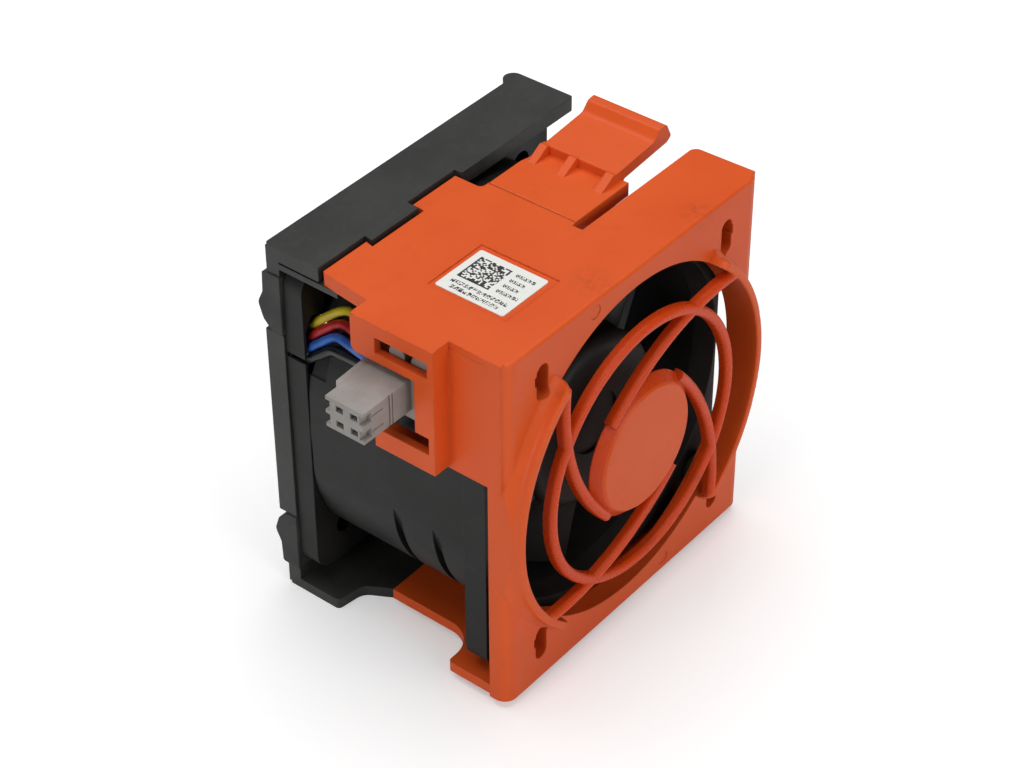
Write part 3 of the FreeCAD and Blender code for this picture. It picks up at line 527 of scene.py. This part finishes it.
def printedFilm(name, sticker, corner):
    # rows run towards the guard, lines stack towards the connector
    mat, tree, shader = startMaterial(name)
    split = addNode(tree, "ShaderNodeSeparateXYZ")
    tree.links.new(objectPlace(tree), split.inputs[0])
    across = calc(tree, "MULTIPLY", calc(tree, "SUBTRACT", corner.y, split.outputs[1]), 1 / mm)
    down = calc(tree, "MULTIPLY", calc(tree, "SUBTRACT", corner.x, split.outputs[0]), 1 / mm)
    ink = 0.0
    for left, right, top, bottom, pitch, fill, gap in sticker["blocks"]:
        block = useGroup(tree, printBlock, Across=across, Down=down, Left=left, Right=right,
                         Top=top, Bottom=bottom, Pitch=pitch, Fill=fill, Gap=gap)
        ink = calc(tree, "MAXIMUM", ink, block.outputs["Mask"])
    look = useGroup(tree, mouldGrain, Scale=3000.0, Flow=200.0)
    cloud = calc(tree, "MULTIPLY", look.outputs["Tone"], 0.4)
    film = blendColour(tree, cloud, sticker["film"], sticker["shade"])
    feed(tree, shader.inputs["Base Color"], blendColour(tree, ink, film, sticker["ink"]))
    feed(tree, shader.inputs["Roughness"], remap(tree, ink, 0.0, 1.0, 0.42, 0.30))
    surfaceNormal(tree, shader, look.outputs["Height"], 0.000004, 0.6, 0.0)
    return mat


def silverFilm():
    mat, tree, shader = startMaterial("silverFilm")
    look = useGroup(tree, mouldGrain, Scale=2600.0, Flow=120.0)
    feed(tree, shader.inputs["Base Color"],
         blendColour(tree, look.outputs["Tone"], (0.50, 0.50, 0.50, 1), (0.58, 0.58, 0.57, 1)))
    feed(tree, shader.inputs["Roughness"], remap(tree, look.outputs["Tone"], 0.0, 1.0, 0.35, 0.45))
    shader.inputs["Metallic"].default_value = 0.4
    surfaceNormal(tree, shader, look.outputs["Height"], 0.000005, 0.6, 0.0)
    return mat


finishes = {
    "orange_plastic": orangePlastic(),
    "black_plastic": blackPlastic(),
    "fan_plastic": fanPlastic(),
    "rubber": softRubber(),
    "connector_plastic": greyNylon(),
    "magnet": ferrite(),
    "board": solderMask(),
    "label_silver": silverFilm(),
    "wire_yellow": wireCover("yellowCover", (0.72, 0.56, 0.03, 1), (0.55, 0.42, 0.02, 1)),
    "wire_red": wireCover("redCover", (0.50, 0.015, 0.02, 1), (0.34, 0.010, 0.015, 1)),
    "wire_blue": wireCover("blueCover", (0.025, 0.13, 0.50, 1), (0.015, 0.085, 0.36, 1)),
    "wire_black": wireCover("blackCover", (0.007, 0.007, 0.007, 1), (0.014, 0.014, 0.014, 1)),
}
for metal in metalLooks:
    finishes[metal] = workedMetal(metal)
stickers = {"top_label": printedFilm("topSticker", topSticker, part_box("top_label")[1]),
            "fan_label": printedFilm("fanSticker", fanSticker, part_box("fan_label")[1])}
print("materials built")

for part in frame["record"]["subparts"]:
    piece = nodes[part["node"]]
    piece.data.materials.clear()
    piece.data.materials.append(stickers.get(part["node"]) or finishes[part["material_slot"]])
print("materials assigned")

# ---- web under the wires, where they leave the fan body

web = {"height": 0.03795, "inner": 0.03110, "outer": 0.03235, "steps": 12,
       # degrees round the axis and how far back each stretch reaches
       "floor": (144.4, 159.1, 0.00388), "side": (159.1, 164.8, 0.00560), "front": 0.00170}


def makeWireWeb():
    sections = []
    for start, stop, back in (web["floor"], web["side"]):
        for k in range(web["steps"] + 1):
            turn = math.radians(start + (stop - start) * k / web["steps"])
            sections.append((math.cos(turn), math.sin(turn), back))
    points, faces = [], []
    for c, s, back in sections:
        for reach, y in ((web["inner"], web["front"]), (web["outer"], web["front"]),
                         (web["outer"], back), (web["inner"], back)):
            points.append((reach * c, y, web["height"] + reach * s))
    for k in range(len(sections) - 1):
        for j in range(4):
            a, b = k * 4 + j, k * 4 + (j + 1) % 4
            faces.append((a, b, b + 4, a + 4))
    last = len(points) - 4
    faces += [(3, 2, 1, 0), (last, last + 1, last + 2, last + 3)]
    mesh = bpy.data.meshes.new("wireWeb")
    mesh.from_pydata(points, [], faces)
    mesh.materials.append(finishes["fan_plastic"])
    return bpy.data.objects.new("wireWeb", mesh)


wireWeb = makeWireWeb()
bpy.context.scene.collection.objects.link(wireWeb)
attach(wireWeb, "module")
print("wire web made")
